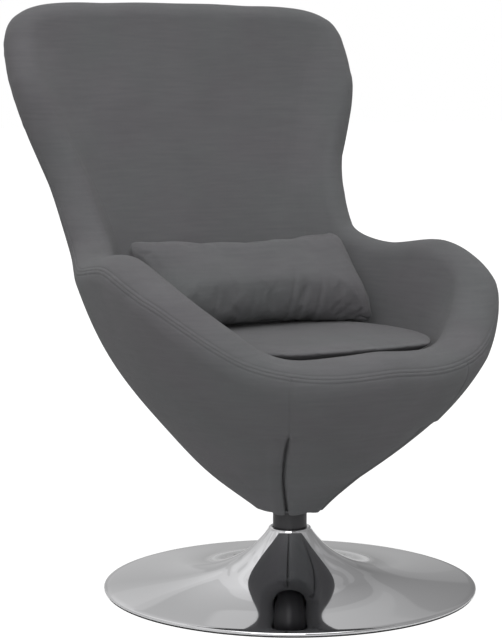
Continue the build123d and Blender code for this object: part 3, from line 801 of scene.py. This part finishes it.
def addPiece(name, mesh):
    # a new object, alone selected and active
    piece = bpy.data.objects.new(name, mesh)
    bpy.context.collection.objects.link(piece)
    bpy.ops.object.select_all(action="DESELECT")
    piece.select_set(True)
    bpy.context.view_layer.objects.active = piece
    return piece


def spreadEvenly(place, facing, pitch):
    # middles, directions and normals of stitches along a closed line
    closed = np.vstack([place, place[:1]])
    faced = np.vstack([facing, facing[:1]])
    steps = np.concatenate([[0], np.cumsum(np.linalg.norm(np.diff(closed, axis=0), axis=1))])
    count = int(round(steps[-1] / pitch))
    at = (np.arange(count) + 0.5) * steps[-1] / count

    def read(where, rows):
        return np.column_stack([np.interp(where, steps, rows[:, i]) for i in range(3)])

    middle = read(at, closed)
    tangent = unit(read((at + 0.001) % steps[-1], closed) - middle)
    normal = unit(read(at, faced))
    return middle, tangent, unit(normal - tangent * (normal * tangent).sum(1, keepdims=True))


def makeStitches(lines):
    # one small capsule, copied along both rows of stitches
    bpy.ops.object.select_all(action="DESELECT")
    bpy.ops.mesh.primitive_uv_sphere_add(segments=6, ring_count=5, radius=1)
    pattern = bpy.context.object
    shape = points(pattern.data).copy()
    faces = [list(face.vertices) for face in pattern.data.polygons]
    bpy.data.objects.remove(pattern)
    ends = np.sign(shape[:, 2]) * np.minimum(1, np.abs(shape[:, 2]) * 1.25)
    lengthwise = ends * rimStitches["length"] / 2
    # a stitch dips into the cloth at both ends
    outwards = shape[:, 0] * rimStitches["radius"] + (-rimStitches["sink"] - rimStitches["dip"] * ends ** 2)
    sideways = shape[:, 1] * rimStitches["radius"]
    places, allFaces = [], []
    for place, facing in lines:
        middle, tangent, normal = spreadEvenly(place, facing, rimStitches["pitch"])
        for m, t, n, s in zip(middle, tangent, normal, np.cross(tangent, normal)):
            first = len(shape) * len(places)
            places.append(m + np.outer(lengthwise, t) + np.outer(outwards, n) + np.outer(sideways, s))
            allFaces += [[v + first for v in face] for face in faces]
    mesh = bpy.data.meshes.new("rim_stitching")
    mesh.from_pydata(np.vstack(places), [], allFaces)
    piece = addPiece("rim_stitching", mesh)
    bpy.ops.object.mode_set(mode="EDIT")
    bpy.ops.mesh.select_all(action="SELECT")
    bpy.ops.mesh.normals_make_consistent(inside=False)
    bpy.ops.object.mode_set(mode="OBJECT")
    bpy.ops.object.shade_smooth()
    mesh.materials.append(finishes["greyThread"])
    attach(piece, "pod")


makeStitches(stitchLines)
print("rim stitching ready")


# how both cushions are filled
filling = {"voxel": 0.005, "pressure": 4.0, "lastFrame": 20, "shrink": -0.02}


def remeshedCopy(name, node):
    piece = addPiece(name, nodes[node].data.copy())
    bpy.ops.object.mode_set(mode="EDIT")
    bpy.ops.mesh.select_all(action="SELECT")
    bpy.ops.mesh.remove_doubles(threshold=0.00005)
    bpy.ops.object.mode_set(mode="OBJECT")
    remesh = piece.modifiers.new("remesh", "REMESH")
    remesh.mode = "VOXEL"
    remesh.voxel_size = filling["voxel"]
    bpy.ops.object.modifier_apply(modifier="remesh")
    return piece


def inflate(piece, held, cap):
    # pressure swells the cover; held vertices stay, and no point moves further than the cap
    before = points(piece.data).copy()
    group = piece.vertex_groups.new(name="held")
    group.add([int(i) for i in np.nonzero(held)[0]], 1.0, "REPLACE")
    fill = piece.modifiers.new("fill", "CLOTH")
    fill.settings.quality = 5
    fill.settings.use_pressure = True
    fill.settings.uniform_pressure_force = filling["pressure"]
    fill.settings.vertex_group_mass = "held"
    fill.settings.shrink_min = filling["shrink"]
    fill.settings.effector_weights.gravity = 0
    fill.collision_settings.use_self_collision = False
    fill.point_cache.frame_start = 1
    fill.point_cache.frame_end = filling["lastFrame"]
    for frameNumber in range(1, filling["lastFrame"] + 1):
        bpy.context.scene.frame_set(frameNumber)
    bpy.ops.object.modifier_apply(modifier="fill")
    bpy.context.scene.frame_set(1)
    move = points(piece.data) - before
    size = np.linalg.norm(move, axis=1, keepdims=True)
    soft = cap * np.tanh(size / cap) / np.maximum(size, 1e-9)
    setPoints(piece, before + move * soft)
    piece.vertex_groups.clear()
    print(piece.name, "moved up to", round(float(size.max()) * 1000, 1), "mm")


def setPoints(piece, co):
    piece.data.vertices.foreach_set("co", co.reshape(-1))
    piece.data.update()


def subdivideOnce(piece):
    fine = piece.modifiers.new("fine", "SUBSURF")
    fine.levels = fine.render_levels = 1
    bpy.ops.object.modifier_apply(modifier="fine")
    bpy.ops.object.shade_smooth()
    piece.data.materials.clear()
    piece.data.materials.append(finishes["greyFabric"])


def unevenness(co, waves):
    # smooth noise at each point, from (scale, height) waves
    return np.array([sum(noise.noise(Vector(p) * scale) * height for scale, height in waves) for p in co])


seatCushion = {
    "edge": 0.4565,               # below this height it keeps its shape
    "cap": 0.003, "crown": 0.42,  # furthest swelling, and share of the crown that is left
    "seamHeight": 0.0005, "seamDepth": 0.0012, "seamWidth": 0.0018,
    "waves": ((14.0, 0.0022), (45.0, 0.0004)),
    "bulge": 0.006, "bulgeBelow": 0.010, "bulgeWidth": 0.011,
    "sag": 0.003, "sagStart": -0.05, "sagOver": 0.08,
}


def makeSeatCushion():
    piece = remeshedCopy("seat_cushion", "seat_cushion_core")
    inflate(piece, points(piece.data)[:, 2] < seatCushion["edge"], seatCushion["cap"])
    subdivideOnce(piece)
    co, normal = points(piece.data), vertexNormals(piece.data)
    # worn flatter, with a seam just above the lower edge, and cloth that isn't quite smooth
    above = np.maximum(co[:, 2] - seatCushion["edge"], 0)
    co[:, 2] -= above * (1 - seatCushion["crown"])
    height = co[:, 2] - seatCushion["edge"]
    top = fade(height, 0.006)
    seamLine = seatCushion["seamDepth"] * hump(height - seatCushion["seamHeight"], seatCushion["seamWidth"])
    push = unevenness(co, seatCushion["waves"]) * top - seamLine
    # its side bulges out to the pod, and its back sags under the pillow
    bulge = seatCushion["bulge"] * hump(height + seatCushion["bulgeBelow"], seatCushion["bulgeWidth"])
    sag = seatCushion["sag"] * fade(co[:, 1] - seatCushion["sagStart"], seatCushion["sagOver"]) * top
    co += normal * push[:, None] + normal * np.array([1, 1, 0]) * bulge[:, None]
    co[:, 2] -= sag
    setPoints(piece, co)
    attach(piece, "seat_cushion")
    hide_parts("seat_cushion_cover", "seat_cushion_core")


pillow = {
    "turn": 46.0,                 # degrees that it slopes up from level
    "cap": 0.012, "held": (0.205, 0.070),
    "forward": 0.20, "forwardWay": (0, -0.94, -0.34),       # share by which its lower half comes forward
    "drop": 0.005, "tilt": 0.004, # how far its lower edge sinks, and more at its right end
    "earStart": (0.185, 0.055), "earOver": (0.035, 0.030),
    "earAside": 0.008, "earUp": 0.029, "earDown": 0.018, "earForward": 0.006, "earThin": 0.45,
    "seamStart": (0.190, 0.045), "seamDepth": 0.0034, "seamWidth": 0.0025,
    "waves": ((22.0, 0.0012), (60.0, 0.0004)),
    "wrinkleShare": 0.65, "wrinkleDrop": 0.012,
}
# place along the pillow, place up it, slant, length and depth of each wrinkle in its lower half
wrinkles = [
    (-0.118, -0.058, 0.25, 0.020, 0.0016), (-0.071, -0.052, -0.30, 0.026, 0.0030),
    (-0.040, -0.060, 0.22, 0.018, 0.0022), (0.004, -0.064, -0.15, 0.016, 0.0014),
    (0.043, -0.050, 0.34, 0.028, 0.0032), (0.064, -0.060, 0.42, 0.022, 0.0028),
    (0.100, -0.055, 0.30, 0.024, 0.0026), (0.148, -0.062, -0.25, 0.016, 0.0018),
    (0.186, -0.058, -0.60, 0.020, 0.0034), (-0.178, -0.056, 0.60, 0.020, 0.0030),
]


def makePillow():
    low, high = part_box("pillow_filling")
    middle = (np.array(low) + np.array(high)) / 2
    turn = math.radians(pillow["turn"])
    up = np.array([0, math.cos(turn), math.sin(turn)])
    front = np.array([0, -math.sin(turn), math.cos(turn)])

    def across(co):
        # along the pillow, up it, and out of its face
        return co[:, 0] - middle[0], (co - middle) @ up, (co - middle) @ front

    piece = remeshedCopy("lumbar_pillow", "pillow_filling")
    u, v, w = across(points(piece.data))
    inflate(piece, (np.abs(u) > pillow["held"][0]) & (np.abs(v) > pillow["held"][1]), pillow["cap"])
    subdivideOnce(piece)
    co, normal = points(piece.data), vertexNormals(piece.data)
    u, v, w = across(co)
    co += np.outer(np.maximum(-v, 0) * pillow["forward"], pillow["forwardWay"])
    co[:, 2] -= fade(-v, 0.09) * (pillow["drop"] + pillow["tilt"] * np.clip(u / 0.2, -1, 1))
    # its corners are drawn out and thin
    sideways = fade(np.abs(u) - pillow["earStart"][0], pillow["earOver"][0]) ** 1.5
    ear = sideways * fade(np.abs(v) - pillow["earStart"][1], pillow["earOver"][1]) ** 1.5
    co[:, 0] += np.sign(u) * ear * pillow["earAside"]
    co += np.outer(np.where(v > 0, pillow["earUp"], -pillow["earDown"]) * ear, up)
    co += np.outer(ear * (pillow["earForward"] * (v > 0) - w * pillow["earThin"]), front)
    # the seam runs round the middle of its thickness
    beside, above = pillow["seamStart"]
    edge = np.maximum(np.abs(u) - beside, v - above) > 0
    push = -pillow["seamDepth"] * hump(w, pillow["seamWidth"]) * edge
    for along, height, slant, length, depth in wrinkles:
        rise = v - height + pillow["wrinkleDrop"]
        off = u - along - slant * rise
        fold = hump(off, 0.0045) - 0.7 * hump(off - 0.009, 0.006)
        push -= pillow["wrinkleShare"] * depth * hump(rise, length) * (w > -0.03) * fold
    push += unevenness(co, pillow["waves"])
    setPoints(piece, co + normal * push[:, None])
    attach(piece, "lumbar_pillow")
    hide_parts("pillow_cover", "pillow_filling")


makeSeatCushion()
makePillow()
print("cushions ready")


# the trumpet's section in millimetres, as radius and height
spunBase = {
    "path": ((37.5, 107.5), (62, 78), (106, 48), (180, 25), (327, 8.5)),
    "startsAlong": (0.62, -1.0), "endsAlong": (1.0, -0.09), "sectionPoints": 110,
    "wall": 1.5, "throat": 30.7, "lipTop": 111.0, "lipHeight": 3.5, "lipTurn": (180, 20, 12),
    "beadRadius": 3.0, "beadTurn": (78, -205, 26),          # degrees from, to, and points
    "grooveDepth": 0.7, "grooveInset": 5.5, "grooveWidth": 1.4,
    "steps": 288,
}


def splineThrough(knots, first, last, count):
    # smooth curve through the knots with given end directions, and its directions
    knots = np.array(knots, float)
    gaps = np.linalg.norm(np.diff(knots, axis=0), axis=1)
    size = len(knots)
    slopes = np.diff(knots, axis=0) / gaps[:, None]
    left, right = np.eye(size), np.zeros((size, 2))
    right[0] = np.array(first) / np.hypot(*first)
    right[-1] = np.array(last) / np.hypot(*last)
    for i in range(1, size - 1):
        left[i, i - 1:i + 2] = gaps[i], 2 * (gaps[i - 1] + gaps[i]), gaps[i - 1]
        right[i] = 3 * (gaps[i] * slopes[i - 1] + gaps[i - 1] * slopes[i])
    tangents = np.linalg.solve(left, right)
    starts = np.concatenate([[0], np.cumsum(gaps)])
    at = np.linspace(0, starts[-1], count)
    spot = np.clip(np.searchsorted(starts, at, "right") - 1, 0, size - 2)
    t = ((at - starts[spot]) / gaps[spot])[:, None]
    gap = gaps[spot][:, None]
    curve = ((2 * t ** 3 - 3 * t ** 2 + 1) * knots[spot] + (t ** 3 - 2 * t ** 2 + t) * gap * tangents[spot]
             + (3 * t ** 2 - 2 * t ** 3) * knots[spot + 1] + (t ** 3 - t ** 2) * gap * tangents[spot + 1])
    return curve, unit(np.gradient(curve, axis=0))


def makeChromeBase():
    # the trumpet's section, spun round the column
    sheet, going = splineThrough(spunBase["path"], spunBase["startsAlong"], spunBase["endsAlong"],
                                 spunBase["sectionPoints"])
    inner = (sheet + np.column_stack([going[:, 1], -going[:, 0]]) * spunBase["wall"])[::-1]
    radius, height = spunBase["path"][-1]
    bead = spunBase["beadRadius"]
    inset = sheet[:, 0] - radius + spunBase["grooveInset"]
    sheet[:, 1] -= spunBase["grooveDepth"] * hump(inset, spunBase["grooveWidth"])
    turns = np.radians(np.linspace(*spunBase["beadTurn"]))
    edge = np.array([radius, height - bead]) + bead * np.column_stack([np.cos(turns), np.sin(turns)])
    inner = inner[inner[:, 0] < radius - bead]
    throat, neck = spunBase["throat"], sheet[0, 0]
    lip = [(throat, inner[-1][1] + 1)]
    for turn in np.radians(np.linspace(*spunBase["lipTurn"])):
        lip.append(((throat + neck) / 2 + (neck - throat) / 2 * math.cos(turn),
                    spunBase["lipTop"] + spunBase["lipHeight"] * (math.sin(turn) - 1)))
    outline = np.vstack([sheet[:-3], edge, inner, lip]) / 1000       # the bead takes the last points
    mesh = bpy.data.meshes.new("chrome_base")
    count = len(outline)
    mesh.from_pydata([(r, 0, z) for r, z in outline], [(i, (i + 1) % count) for i in range(count)], [])
    piece = addPiece("chrome_base", mesh)
    bpy.ops.object.mode_set(mode="EDIT")
    bpy.ops.mesh.select_all(action="SELECT")
    bpy.ops.mesh.spin(steps=spunBase["steps"], angle=2 * math.pi, center=(0, 0, 0), axis=(0, 0, 1))
    bpy.ops.mesh.select_all(action="SELECT")
    bpy.ops.mesh.remove_doubles(threshold=0.00001)
    bpy.ops.mesh.normals_make_consistent(inside=False)
    bpy.ops.object.mode_set(mode="OBJECT")
    bpy.ops.object.shade_smooth()
    mesh.materials.append(finishes["chrome"])
    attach(piece, "base")
    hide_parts("base_trumpet")


makeChromeBase()
print("chrome base ready")
